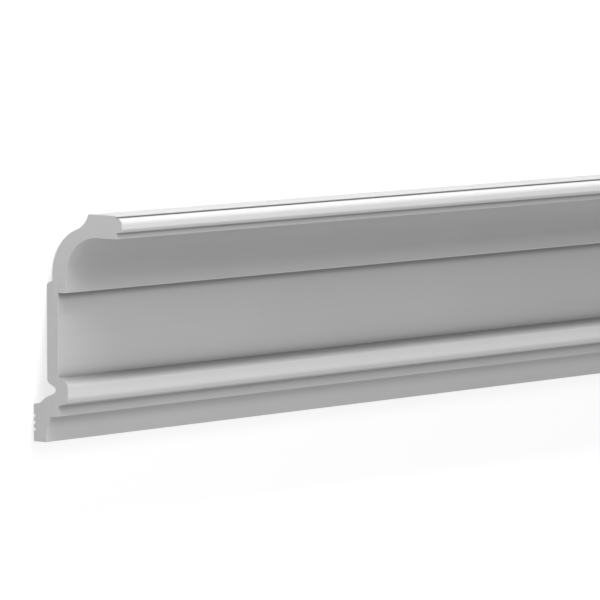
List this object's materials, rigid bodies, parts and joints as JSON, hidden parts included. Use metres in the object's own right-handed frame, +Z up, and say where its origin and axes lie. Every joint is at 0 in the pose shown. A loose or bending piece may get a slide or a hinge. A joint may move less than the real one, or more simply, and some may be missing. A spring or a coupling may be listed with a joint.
{
  "type": "cornice moulding",
  "caption": "Cornice moulding in rigid foam, primed white: a beaded lip over a deep cove, a flat fascia and a lower bead on a hollow-fronted foot with glue grooves",
  "frame": {"origin": "centre of the footprint, on the floor that the moulding lies on", "axes": "+X along the length, +Y from the lip towards the foot, +Z up, out of the wall face that lies downwards"},
  "size_m": [2, 0.1592, 0.0589],
  "materials": {
    "primed_foam": "factory white primer, matte, on rigid moulded foam"
  },
  "bodies": {
    "root": {"moulding": "primed_foam"}
  },
  "joints": []
}
